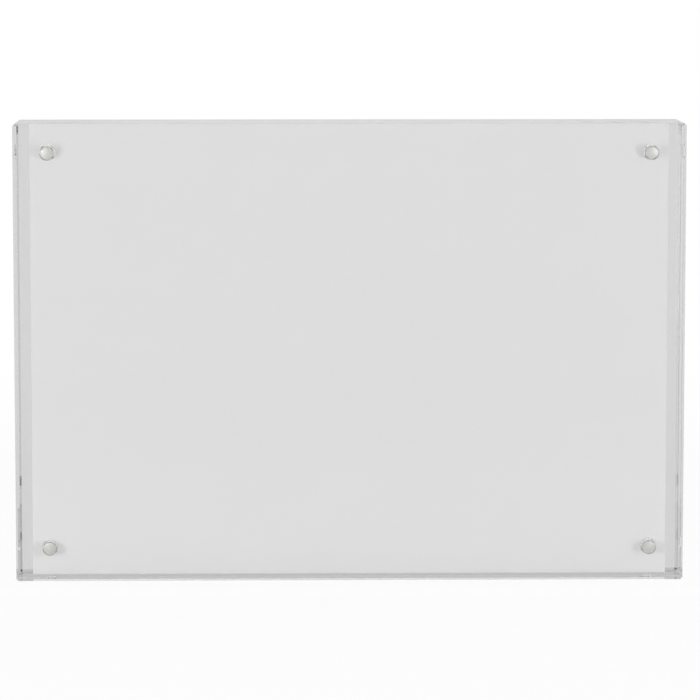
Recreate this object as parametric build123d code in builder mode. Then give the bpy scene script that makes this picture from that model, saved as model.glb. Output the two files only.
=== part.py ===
from build123d import *
import os

# A clear photo frame: two polished acrylic blocks stand face to face with a plain photo print
# between them. Rod magnets, glued into blind pockets in the facing sides, draw the blocks together.
# The picture side looks along -Y and +Z is up. The origin is on the table, under the middle of the
# frame. All sizes are in millimetres.

# Photo insert: an A6 print, its long side level
insert_width = 148.0
insert_height = 105.0
insert_thickness = 0.25

# Acrylic blocks
side_margin = 3.5  # clear acrylic past the insert on the left and right
end_margin = 0.6  # acrylic past the insert at the top and bottom
block_thickness = 10.0
arris = 0.5  # polished 45 degree break along every outer edge

# Rod magnets
magnet_diameter = 3.0
magnet_length = 4.0
magnet_rim = 0.25  # rounded rim under the plating
magnet_side_inset = 7.6  # from a magnet's axis to the nearer side of its block
magnet_end_inset = 7.0  # from a magnet's axis to the nearer of top and bottom
magnet_recess = 0.1  # magnets sit below the facing side, so the blocks close on the insert

# Fits
insert_clearance = 0.05  # air on each side of the insert
glue_floor = 0.15  # glue between a magnet and the floor of its pocket
glue_wall = 0.15  # glue round a magnet
glue_short = 1.2  # the glue round a magnet stops this far below the magnet's outer face
mouth_break = 0.2  # 45 degree break at a pocket's mouth

# Worked out from the sizes above
block_width = insert_width + 2 * side_margin
block_height = insert_height + 2 * end_margin
block_gap = insert_thickness + 2 * insert_clearance
mid_height = block_height / 2
magnet_reach_x = block_width / 2 - magnet_side_inset
magnet_reach_z = block_height / 2 - magnet_end_inset
pocket_radius = magnet_diameter / 2 + glue_wall
pocket_depth = magnet_recess + magnet_length + glue_floor
glue_height = glue_floor + magnet_length - glue_short

# Which way along Y each block's facing side looks, and where each corner lies along X and Z
facing_sides = {"front": 1, "rear": -1}
corners = {
    "top_left": (-1, 1),
    "top_right": (1, 1),
    "bottom_left": (-1, -1),
    "bottom_right": (1, -1),
}

os.makedirs("parts", exist_ok=True)


def facing_plane(facing, x, z):
    """A plane on a block's facing side, looking out across the gap, centred at x and z."""
    return Plane(origin=(x, -facing * block_gap / 2, z), x_dir=(1, 0, 0), z_dir=(0, facing, 0))


def save(piece, name):
    """Labels a finished piece and writes it under the same name."""
    piece.part.label = name
    export_step(piece.part, f"parts/{name}.step")


# Photo insert: the print stands midway between the blocks
with BuildPart() as photo_insert:
    with BuildSketch(Plane.XZ):
        with Locations((0, mid_height)):
            Rectangle(insert_width, insert_height)
    extrude(amount=insert_thickness / 2, both=True)
save(photo_insert, "photo_insert")

for side, facing in facing_sides.items():
    # Acrylic block: arrised all round, with a blind pocket in each corner of its facing side
    face = facing_plane(facing, 0, mid_height)
    with BuildPart() as block:
        with BuildSketch(face):
            Rectangle(block_width, block_height)
        extrude(amount=-block_thickness)
        chamfer(block.edges(), arris)
        with Locations(face):
            with GridLocations(2 * magnet_reach_x, 2 * magnet_reach_z, 2, 2):
                CounterSinkHole(pocket_radius, pocket_radius + mouth_break, pocket_depth, 90)
    save(block, f"{side}_block")

    for corner, (across, up) in corners.items():
        mouth = facing_plane(facing, across * magnet_reach_x, mid_height + up * magnet_reach_z)

        # Rod magnet: a plated cylinder with rounded rims
        with BuildPart() as magnet:
            with BuildSketch(mouth.offset(-magnet_recess)):
                Circle(magnet_diameter / 2)
            extrude(amount=-magnet_length)
            fillet(magnet.edges().filter_by(GeomType.CIRCLE), magnet_rim)
        save(magnet, f"{side}_magnet_{corner}")

        # Glue cup: it covers the pocket's floor and rises part of the way round the magnet
        with BuildPart() as glue:
            with BuildSketch(mouth.offset(-pocket_depth)):
                Circle(pocket_radius)
            extrude(amount=glue_height)
            add(magnet.part, mode=Mode.SUBTRACT)
        save(glue, f"{side}_glue_{corner}")
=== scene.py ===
"""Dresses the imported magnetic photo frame: clear acrylic, plated magnets, glue, plain print and stage."""

import math

import bpy
from bpy.props import FloatProperty, FloatVectorProperty, IntProperty, PointerProperty
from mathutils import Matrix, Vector


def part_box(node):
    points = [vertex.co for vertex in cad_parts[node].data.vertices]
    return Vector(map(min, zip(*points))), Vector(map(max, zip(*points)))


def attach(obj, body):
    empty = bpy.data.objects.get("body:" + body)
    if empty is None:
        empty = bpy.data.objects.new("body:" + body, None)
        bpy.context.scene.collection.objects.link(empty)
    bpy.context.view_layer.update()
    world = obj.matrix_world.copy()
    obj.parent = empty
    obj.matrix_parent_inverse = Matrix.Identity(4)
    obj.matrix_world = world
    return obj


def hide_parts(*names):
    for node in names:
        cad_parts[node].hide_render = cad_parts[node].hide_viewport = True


bl_info = {
    "name": "Magnetic photo frame",
    "version": (1, 0, 0),
    "blender": (4, 5, 0),
    "location": "3D View > Sidebar > Photo Frame",
    "description": "Dresses a clear acrylic photo frame held together by corner magnets",
    "category": "Object",
}

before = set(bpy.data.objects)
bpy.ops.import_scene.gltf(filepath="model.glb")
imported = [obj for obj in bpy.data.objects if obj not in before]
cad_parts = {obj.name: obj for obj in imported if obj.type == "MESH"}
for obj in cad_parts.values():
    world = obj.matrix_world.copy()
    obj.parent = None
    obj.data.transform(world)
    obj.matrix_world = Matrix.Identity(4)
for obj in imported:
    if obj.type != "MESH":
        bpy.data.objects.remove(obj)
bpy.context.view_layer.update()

MM = 0.001
CORNERS = ("top_left", "top_right", "bottom_left", "bottom_right")
SIDES = ("front", "rear")
QUARTER_TURN = math.radians(90)

# Modelling
HAIR = 0.01 * MM  # closer than this, two places count as the same
MERGE_REACH = HAIR / 10  # points closer than this become one
SQUARE_ON = 0.99  # a face looks along an axis when its normal reaches this far along it
RIM_STEPS = 4  # flats across a magnet's rounded rim
CROWN_RINGS = 6  # rings that the swollen end of a magnet is drawn with
SMOOTH_ANGLE = math.radians(40)  # edges sharper than this stay crisp

# Materials, with the size of each pattern
ACRYLIC_IOR = 1.49
ACRYLIC_DENSITY = 12.0  # how fast the acrylic takes on its depth colour
POLISHED_PATCH = 6 * MM
GLUE_IOR = 1.48
GLUE_DIMPLE = 0.6 * MM
TUMBLING_MARK = 0.25 * MM
CARD_CLOUD = 9 * MM
CARD_CLOUD_SHADE = 0.985  # share of the card's white that is left between the clouds
CARD_GRAIN = 0.4 * MM

# Camera and floor, in metres
CAMERA_PLACE = (-0.01567, -0.88532, 0.15128)
CAMERA_DOWN = math.radians(6.346)  # how far it looks down
CAMERA_RIGHT = math.radians(1.026)  # how far it looks to the right
CAMERA_LENS = 196.04  # focal length in mm
CAMERA_SENSOR = 36.0  # width in mm
CAMERA_NEAREST = 0.01
CAMERA_FARTHEST = 100
FLOOR_RADIUS = 12.0
FLOOR_SIDES = 96
FLOOR_DROP = 0.05 * MM  # keeps the floor clear of the underside of the blocks
SHADOW_REACH = 0.1  # the frame's soft shadow shows in full this near to it
WHITE_REACH = 0.5  # from here on the floor looks pure white
SHADOW_WHITE = 0.9  # share of white in the floor's look where the shadow shows in full

# Lamps, in metres. Soft boxes and strips stand in pairs, and the places here are the right one's
SOFT_BOX_PLACE = (0.224, -0.423, 0.11)
SOFT_BOX_AIM = (0.07, 0, 0.05)
SOFT_BOX_SIZE = (0.2, 0.21)
SOFT_BOX_WATTS = 0.143
STRIP_PLACE = (0.288, -0.4, 0.045)
STRIP_AIM = (0.03, 0, 0.04)
STRIP_SIZE = (0.064, 0.128)
STRIP_WATTS = 0.48
REFLECTOR_PLACE = (0, -0.03, 0.005)
REFLECTOR_AIM = (0, 0, 0.005)
REFLECTOR_SIZE = (0.26, 0.006)
REFLECTOR_WATTS = 0.0032
LIGHT_TURNS = 160  # bounces that a ray of light may take

# Room. The bounds are a direction's Y, from -1 straight to the front to 1 straight to the back
ROOM_FRONT = -0.8
ROOM_BACK = -0.3
ROOM_FRONT_LOOK = 1.0
ROOM_BACK_LOOK = 0.75
FILL_FRONT = -0.3
FILL_BACK = 0.3
FILL_FRONT_STRENGTH = 0.445
FILL_BACK_STRENGTH = 1.1


def linear(hex_colour):
    """Turns an sRGB hex colour such as #E4E6E6 into the linear red, green and blue that shaders use."""
    shares = [int(hex_colour[i : i + 2], 16) / 255 for i in (1, 3, 5)]
    return [s / 12.92 if s <= 0.04045 else ((s + 0.055) / 1.055) ** 2.4 for s in shares]


def node_centre(name):
    """The middle of a CAD node's box."""
    low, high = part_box(name)
    return (low + high) / 2


def node_size(name):
    """The width, depth and height of a CAD node's box."""
    low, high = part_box(name)
    return high - low


class FrameSizes(bpy.types.PropertyGroup):
    """Sizes of the modelled pieces."""

    magnet_radius: FloatProperty(
        name="Magnet radius",
        description="Radius of a rod magnet over its plating",
        default=node_size("front_magnet_top_left").x / 2,
        unit="LENGTH",
    )
    magnet_length: FloatProperty(
        name="Magnet length",
        description="Length of a rod magnet from end to end",
        default=node_size("front_magnet_top_left").y,
        unit="LENGTH",
    )
    magnet_rim: FloatProperty(
        name="Magnet rim",
        description="Radius of the rounded rims under the plating",
        default=0.12 * MM,
        unit="LENGTH",
    )
    magnet_crown: FloatProperty(
        name="Magnet crown",
        description="How far the tumbled end of a magnet swells in the middle",
        default=0.12 * MM,
        unit="LENGTH",
    )
    glue_radius: FloatProperty(
        name="Glue radius",
        description="Outer radius of the glue in a pocket",
        default=node_size("front_glue_top_left").x / 2,
        unit="LENGTH",
    )
    glue_height: FloatProperty(
        name="Glue height",
        description="How far the glue rises from the floor of its pocket",
        default=node_size("front_glue_top_left").y,
        unit="LENGTH",
    )
    glue_gap: FloatProperty(
        name="Glue gap",
        description="Hairline between the cured glue and the acrylic",
        default=0.02 * MM,
        unit="LENGTH",
    )
    glue_sag: FloatProperty(
        name="Glue sag",
        description="How far the glue sinks between the magnet and the wall of the pocket",
        default=0.12 * MM,
        unit="LENGTH",
    )
    sides: IntProperty(
        name="Sides of a round piece",
        description="Number of flats that a round piece is drawn with",
        default=64,
        min=24,
    )


class FrameColours(bpy.types.PropertyGroup):
    """Colours of the materials and of the stage."""

    acrylic: FloatVectorProperty(
        name="Acrylic",
        description="What the acrylic leaves of the light that passes through it",
        default=linear("#E9E9E9"),
        subtype="COLOR",
        min=0,
        max=1,
    )
    acrylic_depth: FloatVectorProperty(
        name="Acrylic depth",
        description="Colour that the acrylic takes on along its length",
        default=linear("#F2F3F2"),
        subtype="COLOR",
        min=0,
        max=1,
    )
    card: FloatVectorProperty(
        name="Photo card",
        description="Colour of the plain print",
        default=linear("#F6F6F6"),
        subtype="COLOR",
        min=0,
        max=1,
    )
    nickel: FloatVectorProperty(
        name="Nickel",
        description="Colour of the magnets' plating",
        default=linear("#F8F7F5"),
        subtype="COLOR",
        min=0,
        max=1,
    )
    glue: FloatVectorProperty(
        name="Glue",
        description="What the cured glue leaves of the light that passes through it",
        default=linear("#FDFDFC"),
        subtype="COLOR",
        min=0,
        max=1,
    )
    floor: FloatVectorProperty(
        name="Floor",
        description="Colour of the matt board that the frame stands on",
        default=linear("#FAFAFA"),
        subtype="COLOR",
        min=0,
        max=1,
    )
    studio: FloatVectorProperty(
        name="Studio",
        description="Colour of the fill light in the room",
        default=linear("#F6F6F6"),
        subtype="COLOR",
        min=0,
        max=1,
    )


def add_node(tree, kind, values=(), links=(), **settings):
    """Adds one shader node: settings are its own properties, values and links go to its sockets by name."""
    node = tree.nodes.new(kind)
    for name, value in settings.items():
        setattr(node, name, value)
    for socket, value in dict(values).items():
        node.inputs[socket].default_value = value
    for socket, source in dict(links).items():
        tree.links.new(source, node.inputs[socket])
    return node


def empty_material(name):
    """A material with no nodes yet, and the node tree to fill."""
    material = bpy.data.materials.new(name)
    material.use_nodes = True
    tree = material.node_tree
    tree.nodes.clear()
    return material, tree


def rgba(colour):
    """A colour property as the four values that a colour socket takes."""
    return (*colour, 1)


def clear_output(tree, gloss, depth=None):
    """Lets the light of lamps and room straight through to the print, which spares it bright specks."""
    path = add_node(tree, "ShaderNodeLightPath")
    passed = add_node(tree, "ShaderNodeBsdfTransparent", {"Color": (1, 1, 1, 1)})
    lamp_light = add_node(
        tree,
        "ShaderNodeMixShader",
        links={0: path.outputs["Is Shadow Ray"], 1: gloss.outputs["BSDF"], 2: passed.outputs["BSDF"]},
    )
    room_light = add_node(
        tree,
        "ShaderNodeMixShader",
        links={0: path.outputs["Is Diffuse Ray"], 1: lamp_light.outputs["Shader"], 2: passed.outputs["BSDF"]},
    )
    output = add_node(tree, "ShaderNodeOutputMaterial", links={"Surface": room_light.outputs["Shader"]})
    if depth:
        tree.links.new(depth.outputs["Volume"], output.inputs["Volume"])


def polished_acrylic(colours):
    """Cast acrylic, diamond-polished: clear as water, with sharp bright reflections along its edges."""
    material, tree = empty_material("Cast acrylic, polished")
    place = add_node(tree, "ShaderNodeTexCoord")
    # Polishing leaves soft patches about 6 mm across that are a touch less glossy than the rest
    patches = add_node(
        tree,
        "ShaderNodeTexNoise",
        {"Scale": 1 / POLISHED_PATCH, "Detail": 2.0},
        {"Vector": place.outputs["Object"]},
    )
    roughness = add_node(
        tree,
        "ShaderNodeMapRange",
        {"From Min": 0.35, "From Max": 0.75, "To Min": 0.0, "To Max": 0.006},
        {"Value": patches.outputs["Fac"]},
    )
    gloss = add_node(
        tree,
        "ShaderNodeBsdfPrincipled",
        {"Base Color": rgba(colours.acrylic), "Transmission Weight": 1.0, "IOR": ACRYLIC_IOR},
        {"Roughness": roughness.outputs["Result"]},
    )
    # Light that runs the length of a block loses nearly a fifth on the way, so the edges are a little grey
    depth = add_node(
        tree,
        "ShaderNodeVolumeAbsorption",
        {"Color": rgba(colours.acrylic_depth), "Density": ACRYLIC_DENSITY},
    )
    clear_output(tree, gloss, depth)
    return material


def cured_glue(colours):
    """Clear acrylic glue, cured: glassy and a little wavy, with the faintest trace of yellow."""
    material, tree = empty_material("Acrylic glue, cured clear")
    place = add_node(tree, "ShaderNodeTexCoord")
    # It shrinks as it cures, which leaves dimples about 0.6 mm across
    dimples = add_node(
        tree,
        "ShaderNodeTexNoise",
        {"Scale": 1 / GLUE_DIMPLE, "Detail": 1.0},
        {"Vector": place.outputs["Object"]},
    )
    bump = add_node(
        tree,
        "ShaderNodeBump",
        {"Strength": 0.15, "Distance": 0.03 * MM},
        {"Height": dimples.outputs["Fac"]},
    )
    gloss = add_node(
        tree,
        "ShaderNodeBsdfPrincipled",
        {"Base Color": rgba(colours.glue), "Transmission Weight": 1.0, "IOR": GLUE_IOR, "Roughness": 0.03},
        {"Normal": bump.outputs["Normal"]},
    )
    clear_output(tree, gloss)
    return material


def bright_nickel(colours):
    """Nickel plating on a sintered magnet: a warm, bright metal with the soft marks of barrel tumbling."""
    material, tree = empty_material("Nickel plating, tumbled")
    place = add_node(tree, "ShaderNodeTexCoord")
    # Tumbling marks are a few hundredths of a millimetre wide, drawn about 0.25 mm wide so that they show
    marks = add_node(
        tree,
        "ShaderNodeTexNoise",
        {"Scale": 1 / TUMBLING_MARK, "Detail": 3.0},
        {"Vector": place.outputs["Object"]},
    )
    roughness = add_node(
        tree,
        "ShaderNodeMapRange",
        {"From Min": 0.3, "From Max": 0.7, "To Min": 0.24, "To Max": 0.38},
        {"Value": marks.outputs["Fac"]},
    )
    bump = add_node(
        tree,
        "ShaderNodeBump",
        {"Strength": 0.2, "Distance": 0.005 * MM},
        {"Height": marks.outputs["Fac"]},
    )
    metal = add_node(
        tree,
        "ShaderNodeBsdfPrincipled",
        {"Base Color": rgba(colours.nickel), "Metallic": 1.0},
        {"Roughness": roughness.outputs["Result"], "Normal": bump.outputs["Normal"]},
    )
    add_node(tree, "ShaderNodeOutputMaterial", links={"Surface": metal.outputs["BSDF"]})
    return material


def satin_card(colours):
    """Resin-coated photo card, satin: an even white with a fine grain and a soft sheen."""
    material, tree = empty_material("Photo card, satin white")
    place = add_node(tree, "ShaderNodeTexCoord")
    # The fibre under the coating clouds the white over about 9 mm
    clouds = add_node(
        tree,
        "ShaderNodeTexNoise",
        {"Scale": 1 / CARD_CLOUD, "Detail": 3.0},
        {"Vector": place.outputs["Object"]},
    )
    shade = add_node(
        tree,
        "ShaderNodeMix",
        {"A": rgba(CARD_CLOUD_SHADE * c for c in colours.card), "B": rgba(colours.card)},
        {"Factor": clouds.outputs["Fac"]},
        data_type="RGBA",
    )
    # The satin grain is about 0.1 mm, drawn at 0.4 mm so that it shows
    grain = add_node(
        tree,
        "ShaderNodeTexNoise",
        {"Scale": 1 / CARD_GRAIN, "Detail": 2.0},
        {"Vector": place.outputs["Object"]},
    )
    bump = add_node(
        tree,
        "ShaderNodeBump",
        {"Strength": 0.1, "Distance": 0.01 * MM},
        {"Height": grain.outputs["Fac"]},
    )
    paper = add_node(
        tree,
        "ShaderNodeBsdfPrincipled",
        {"Roughness": 0.42},
        {"Base Color": shade.outputs["Result"], "Normal": bump.outputs["Normal"]},
    )
    add_node(tree, "ShaderNodeOutputMaterial", links={"Surface": paper.outputs["BSDF"]})
    return material


def dress(node, material):
    """Gives a CAD node its finish and leaves its shape alone."""
    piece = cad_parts[node]
    for slot in piece.material_slots:
        slot.material = material


def deselect():
    """Clears the selection, because the operators act on all that is selected."""
    bpy.ops.object.select_all(action="DESELECT")


def pick_faces(piece, wanted):
    """In edit mode, selects the faces for which wanted(centre, normal) is true, and nothing else."""
    bpy.ops.mesh.select_mode(type="FACE")
    bpy.ops.mesh.select_all(action="DESELECT")
    bpy.ops.object.mode_set(mode="OBJECT")
    for face in piece.data.polygons:
        face.select = wanted(face.center, face.normal)
    bpy.ops.object.mode_set(mode="EDIT")


def pick_edges(piece, wanted):
    """In edit mode, selects the edges for which wanted(one end, other end) is true, and nothing else."""
    bpy.ops.mesh.select_mode(type="EDGE")
    bpy.ops.mesh.select_all(action="DESELECT")
    bpy.ops.object.mode_set(mode="OBJECT")
    points = piece.data.vertices
    for edge in piece.data.edges:
        first, second = edge.vertices
        edge.select = wanted(points[first].co, points[second].co)
    bpy.ops.object.mode_set(mode="EDIT")


def settle(piece, name):
    """Puts a piece's place into its mesh, so that its object sits at the origin, and names both."""
    deselect()
    piece.select_set(True)
    bpy.context.view_layer.objects.active = piece
    bpy.ops.object.transform_apply(location=True, rotation=True, scale=True)
    piece.name = name
    piece.data.name = name


def copy_to(piece, name, place, half_turn):
    """Copies a settled piece with its own mesh, turns it round where needed and moves it to its place."""
    deselect()
    piece.select_set(True)
    bpy.context.view_layer.objects.active = piece
    bpy.ops.object.duplicate(linked=False)
    copy = bpy.context.view_layer.objects.active
    if half_turn:
        bpy.ops.transform.rotate(value=math.pi, orient_axis="Z", center_override=(0, 0, 0))
    bpy.ops.object.transform_apply(location=True, rotation=True, scale=True)
    low = Vector([min(p.co[i] for p in copy.data.vertices) for i in range(3)])
    high = Vector([max(p.co[i] for p in copy.data.vertices) for i in range(3)])
    bpy.ops.transform.translate(value=place - (low + high) / 2)
    settle(copy, name)
    return copy


def finish_piece(piece, node, body, material):
    """Gives a modelled piece its material, hides the CAD node it stands for and hangs it on the body it rides
    on.
    """
    piece.data.materials.clear()
    piece.data.materials.append(material)
    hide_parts(node)
    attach(piece, body)


def copy_round(piece, kind, material):
    """Puts a copy of the front block's top left piece at each corner of both blocks."""
    for side in SIDES:
        for corner in CORNERS:
            node = f"{side}_{kind}_{corner}"
            fitted = copy_to(piece, f"{node}_fitted", node_centre(node), side == "rear")
            finish_piece(fitted, node, side, material)
            # Room light bends round the pockets through the acrylic, so it throws no shade on the print
            fitted.visible_diffuse = False
    bpy.data.objects.remove(piece)


class PHOTOFRAME_OT_acrylic_blocks(bpy.types.Operator):
    """Finishes both acrylic blocks"""

    bl_idname = "photoframe.acrylic_blocks"
    bl_label = "Acrylic blocks"

    def execute(self, context):
        acrylic = polished_acrylic(context.scene.photo_frame_colours)
        for side in SIDES:
            dress(f"{side}_block", acrylic)
        return {"FINISHED"}


class PHOTOFRAME_OT_print(bpy.types.Operator):
    """Finishes the plain print between the blocks"""

    bl_idname = "photoframe.print"
    bl_label = "Print"

    def execute(self, context):
        dress("photo_insert", satin_card(context.scene.photo_frame_colours))
        return {"FINISHED"}


class PHOTOFRAME_OT_magnets(bpy.types.Operator):
    """Models a plated rod magnet and sets one in each pocket"""

    bl_idname = "photoframe.magnets"
    bl_label = "Magnets"

    def execute(self, context):
        sizes = context.scene.photo_frame_sizes
        radius = sizes.magnet_radius
        middle = node_centre("front_magnet_top_left")
        deselect()
        bpy.ops.mesh.primitive_cylinder_add(
            vertices=sizes.sides,
            radius=radius,
            depth=sizes.magnet_length - sizes.magnet_crown,
            location=middle + Vector((0, sizes.magnet_crown / 2, 0)),
            rotation=(QUARTER_TURN, 0, 0),
        )
        magnet = context.active_object
        settle(magnet, "magnet_pattern")
        near_end = min(p.co.y for p in magnet.data.vertices)

        bpy.ops.object.mode_set(mode="EDIT")
        pick_edges(magnet, lambda a, b: abs(a.y - b.y) < HAIR)
        bpy.ops.mesh.bevel(offset=sizes.magnet_rim, segments=RIM_STEPS, profile=0.5)

        # The plating builds up and the tumbling wears down, so the outer end swells a little to its middle
        flat = radius - sizes.magnet_rim
        swell = (flat**2 + sizes.magnet_crown**2) / (2 * sizes.magnet_crown)
        pick_faces(magnet, lambda c, n: n.y < -SQUARE_ON and c.y < near_end + HAIR)
        risen = 0.0
        for ring in range(1, CROWN_RINGS):
            bpy.ops.mesh.inset(thickness=flat / CROWN_RINGS, depth=0)
            reach = flat * (1 - ring / CROWN_RINGS)
            height = math.sqrt(swell**2 - reach**2) - (swell - sizes.magnet_crown)
            bpy.ops.transform.translate(value=(0, risen - height, 0))
            risen = height
        bpy.ops.mesh.poke()
        bpy.ops.mesh.select_all(action="SELECT")
        bpy.ops.mesh.remove_doubles(threshold=MERGE_REACH)
        bpy.ops.mesh.normals_make_consistent(inside=False)
        bpy.ops.object.mode_set(mode="OBJECT")
        bpy.ops.object.shade_smooth_by_angle(angle=SMOOTH_ANGLE)
        reaches = [p.co.y for p in magnet.data.vertices]
        if max(reaches) - min(reaches) > sizes.magnet_length + HAIR:
            raise ValueError("the crowned magnet is longer than its node")

        nickel = bright_nickel(context.scene.photo_frame_colours)
        copy_round(magnet, "magnet", nickel)
        return {"FINISHED"}


class PHOTOFRAME_OT_glue(bpy.types.Operator):
    """Models the cup of cured glue round a magnet and sets one in each pocket"""

    bl_idname = "photoframe.glue"
    bl_label = "Glue"

    def execute(self, context):
        sizes = context.scene.photo_frame_sizes
        radius = sizes.glue_radius - sizes.glue_gap
        height = sizes.glue_height - sizes.glue_gap
        middle = node_centre("front_glue_top_left") + Vector((0, sizes.glue_gap / 2, 0))
        deselect()
        bpy.ops.mesh.primitive_cylinder_add(
            vertices=sizes.sides,
            radius=radius,
            depth=height,
            location=middle,
            rotation=(QUARTER_TURN, 0, 0),
        )
        glue = context.active_object
        settle(glue, "glue_pattern")
        mouth = max(p.co.y for p in glue.data.vertices)

        bpy.ops.object.mode_set(mode="EDIT")
        # The well lies just inside the magnet, so that no sliver of air shows between glue and plating
        overlap = sizes.glue_gap
        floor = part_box("front_magnet_top_left")[0].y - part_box("front_glue_top_left")[0].y + overlap
        pick_faces(glue, lambda c, n: n.y > SQUARE_ON)
        bpy.ops.mesh.inset(thickness=radius - sizes.magnet_radius + overlap, depth=0)
        bpy.ops.mesh.extrude_region_move(TRANSFORM_OT_translate={"value": (0, floor - height, 0)})
        # The glue creeps up the magnet and sinks away from the wall of the pocket
        pick_edges(
            glue,
            lambda a, b: min(a.y, b.y) > mouth - HAIR
            and min(math.hypot(p.x - middle.x, p.z - middle.z) for p in (a, b)) > radius - HAIR,
        )
        bpy.ops.transform.translate(value=(0, -sizes.glue_sag, 0))
        bpy.ops.mesh.select_all(action="SELECT")
        bpy.ops.mesh.normals_make_consistent(inside=False)
        bpy.ops.object.mode_set(mode="OBJECT")
        bpy.ops.object.shade_smooth_by_angle(angle=SMOOTH_ANGLE)

        clear = cured_glue(context.scene.photo_frame_colours)
        copy_round(glue, "glue", clear)
        return {"FINISHED"}


def seen_directly(tree):
    """1 where a surface is seen straight, mirrored or through something clear, 0 where it only lights."""
    path = add_node(tree, "ShaderNodeLightPath")
    mirrored = add_node(
        tree,
        "ShaderNodeMath",
        links={0: path.outputs["Is Camera Ray"], 1: path.outputs["Is Glossy Ray"]},
        operation="ADD",
    )
    through = add_node(
        tree,
        "ShaderNodeMath",
        links={0: mirrored.outputs[0], 1: path.outputs["Is Transmission Ray"]},
        operation="ADD",
        use_clamp=True,
    )
    # A ray that has left a matt surface only lights it, also when it passes through the acrylic
    return add_node(
        tree,
        "ShaderNodeMath",
        links={0: through.outputs[0], 1: path.outputs["Diffuse Depth"]},
        operation="SUBTRACT",
        use_clamp=True,
    ).outputs[0]


def white_board(colours):
    """Matt white board: even and pale, it takes the soft shadow of the frame."""
    material, tree = empty_material("Matt white board")
    place = add_node(tree, "ShaderNodeTexCoord")
    reach = add_node(
        tree, "ShaderNodeVectorMath", links={0: place.outputs["Object"]}, operation="LENGTH"
    )
    white_share = add_node(
        tree,
        "ShaderNodeMapRange",
        {"From Min": SHADOW_REACH, "From Max": WHITE_REACH, "To Min": SHADOW_WHITE, "To Max": 1.0},
        {"Value": reach.outputs["Value"]},
        interpolation_type="SMOOTHSTEP",
    )
    share = add_node(
        tree,
        "ShaderNodeMath",
        links={0: white_share.outputs["Result"], 1: seen_directly(tree)},
        operation="MULTIPLY",
    )
    board = add_node(tree, "ShaderNodeBsdfDiffuse", {"Color": rgba(colours.floor)})
    white = add_node(tree, "ShaderNodeEmission", {"Color": (1, 1, 1, 1), "Strength": 1.0})
    mix = add_node(
        tree,
        "ShaderNodeMixShader",
        links={0: share.outputs[0], 1: board.outputs["BSDF"], 2: white.outputs["Emission"]},
    )
    add_node(tree, "ShaderNodeOutputMaterial", links={"Surface": mix.outputs["Shader"]})
    return material


def studio_world(colours):
    """A white room, palest in front of the frame, which acrylic and plating mirror, and a soft fill light."""
    world = bpy.data.worlds.new("Studio")
    world.use_nodes = True
    tree = world.node_tree
    tree.nodes.clear()
    place = add_node(tree, "ShaderNodeTexCoord")
    parts = add_node(tree, "ShaderNodeSeparateXYZ", links={0: place.outputs["Object"]})
    look = add_node(
        tree,
        "ShaderNodeMapRange",
        {
            "From Min": ROOM_FRONT,
            "From Max": ROOM_BACK,
            "To Min": ROOM_FRONT_LOOK,
            "To Max": ROOM_BACK_LOOK,
        },
        {"Value": parts.outputs["Y"]},
        interpolation_type="SMOOTHSTEP",
    )
    room = add_node(
        tree, "ShaderNodeBackground", {"Color": (1, 1, 1, 1)}, {"Strength": look.outputs["Result"]}
    )
    # The lamps stand in front, so the fill is stronger behind, and both sides are lit alike
    strength = add_node(
        tree,
        "ShaderNodeMapRange",
        {
            "From Min": FILL_FRONT,
            "From Max": FILL_BACK,
            "To Min": FILL_FRONT_STRENGTH,
            "To Max": FILL_BACK_STRENGTH,
        },
        {"Value": parts.outputs["Y"]},
        interpolation_type="SMOOTHSTEP",
    )
    fill = add_node(
        tree,
        "ShaderNodeBackground",
        {"Color": rgba(colours.studio)},
        {"Strength": strength.outputs["Result"]},
    )
    mix = add_node(
        tree,
        "ShaderNodeMixShader",
        links={0: seen_directly(tree), 1: fill.outputs[0], 2: room.outputs[0]},
    )
    add_node(tree, "ShaderNodeOutputWorld", links={"Surface": mix.outputs["Shader"]})
    return world


def soft_box(name, place, aim, size, watts, mirrored):
    """Adds an area lamp that looks at a point, unseen by the camera and mirrored in shiny faces or not."""
    lamp = bpy.data.lights.new(name, "AREA")
    lamp.shape = "RECTANGLE"
    lamp.size, lamp.size_y = size
    lamp.energy = watts
    box = bpy.data.objects.new(name, lamp)
    bpy.context.scene.collection.objects.link(box)
    box.location = place
    box.rotation_euler = (Vector(aim) - Vector(place)).to_track_quat("-Z", "Y").to_euler()
    box.visible_camera = False
    box.visible_glossy = mirrored
    box.visible_transmission = mirrored


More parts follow.
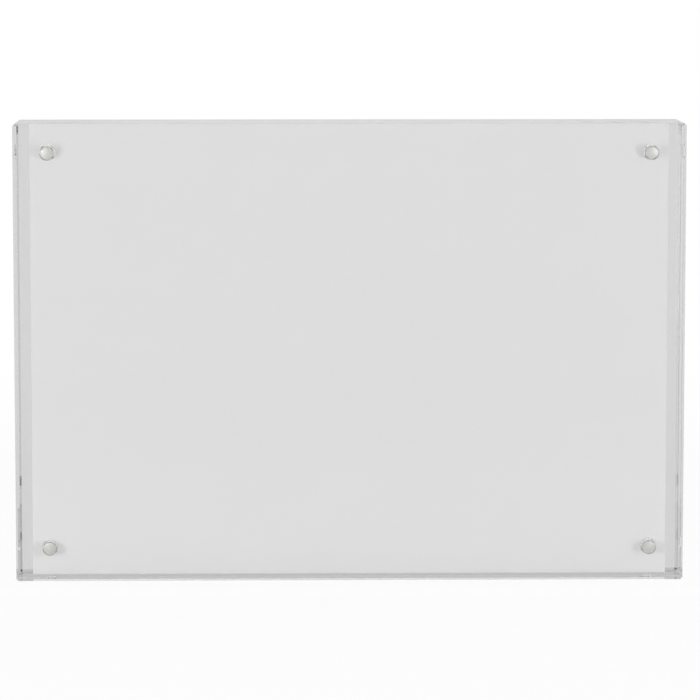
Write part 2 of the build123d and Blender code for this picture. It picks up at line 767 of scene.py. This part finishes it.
class PHOTOFRAME_OT_stage(bpy.types.Operator):
    """Sets up the floor, the soft studio light and the camera"""

    bl_idname = "photoframe.stage"
    bl_label = "Stage"

    def execute(self, context):
        scene = context.scene
        colours = scene.photo_frame_colours
        deselect()
        bpy.ops.mesh.primitive_circle_add(
            vertices=FLOOR_SIDES, radius=FLOOR_RADIUS, fill_type="NGON", location=(0, 0, -FLOOR_DROP)
        )
        floor = context.active_object
        settle(floor, "floor_board")
        floor.data.materials.append(white_board(colours))

        scene.world = studio_world(colours)
        # The broad boxes shine in the plating, and the narrow ones give the magnets a shadow on the print
        for name, turn in (("left", Vector((-1, 1, 1))), ("right", Vector((1, 1, 1)))):
            soft_box(
                f"{name}_soft_box",
                turn * Vector(SOFT_BOX_PLACE),
                turn * Vector(SOFT_BOX_AIM),
                SOFT_BOX_SIZE,
                SOFT_BOX_WATTS,
                mirrored=True,
            )
            soft_box(
                f"{name}_strip",
                turn * Vector(STRIP_PLACE),
                turn * Vector(STRIP_AIM),
                STRIP_SIZE,
                STRIP_WATTS,
                mirrored=False,
            )
        # The floor in front leaves the foot of the print darker, and a low white strip evens that out
        soft_box(
            "low_reflector",
            REFLECTOR_PLACE,
            REFLECTOR_AIM,
            REFLECTOR_SIZE,
            REFLECTOR_WATTS,
            mirrored=False,
        )
        # Light that is caught between the polished faces needs many turns to find its way out
        for kind in ("max", "glossy", "transmission", "transparent_max"):
            setattr(scene.cycles, f"{kind}_bounces", LIGHT_TURNS)

        lens = bpy.data.cameras.new("camera")
        lens.lens = CAMERA_LENS
        lens.sensor_width = CAMERA_SENSOR
        lens.clip_start = CAMERA_NEAREST
        lens.clip_end = CAMERA_FARTHEST
        camera = bpy.data.objects.new("camera", lens)
        scene.collection.objects.link(camera)
        camera.location = CAMERA_PLACE
        camera.rotation_euler = (QUARTER_TURN - CAMERA_DOWN, 0, -CAMERA_RIGHT)
        scene.camera = camera
        scene.view_settings.view_transform = "Standard"
        return {"FINISHED"}


class PHOTOFRAME_PT_panel(bpy.types.Panel):
    """Lists the pieces of the photo frame and their sizes and colours"""

    bl_idname = "PHOTOFRAME_PT_panel"
    bl_label = "Photo Frame"
    bl_space_type = "VIEW_3D"
    bl_region_type = "UI"
    bl_category = "Photo Frame"

    def draw(self, context):
        layout = self.layout
        for operator in OPERATORS:
            layout.operator(operator.bl_idname)
        for group in (context.scene.photo_frame_sizes, context.scene.photo_frame_colours):
            box = layout.box()
            for name in group.__annotations__:
                box.prop(group, name)


OPERATORS = (
    PHOTOFRAME_OT_acrylic_blocks,
    PHOTOFRAME_OT_print,
    PHOTOFRAME_OT_magnets,
    PHOTOFRAME_OT_glue,
    PHOTOFRAME_OT_stage,
)
CLASSES = (FrameSizes, FrameColours, *OPERATORS, PHOTOFRAME_PT_panel)


def register():
    """Adds the classes to Blender, and the sizes and colours to the scene."""
    for cls in CLASSES:
        bpy.utils.register_class(cls)
    bpy.types.Scene.photo_frame_sizes = PointerProperty(type=FrameSizes)
    bpy.types.Scene.photo_frame_colours = PointerProperty(type=FrameColours)


def unregister():
    """Takes them out again in the opposite order."""
    del bpy.types.Scene.photo_frame_colours
    del bpy.types.Scene.photo_frame_sizes
    for cls in reversed(CLASSES):
        bpy.utils.unregister_class(cls)


def main():
    """Makes each piece and the stage in turn."""
    register()
    bpy.ops.photoframe.acrylic_blocks()
    bpy.ops.photoframe.print()
    bpy.ops.photoframe.magnets()
    bpy.ops.photoframe.glue()
    bpy.ops.photoframe.stage()


if __name__ == "__main__":
    main()
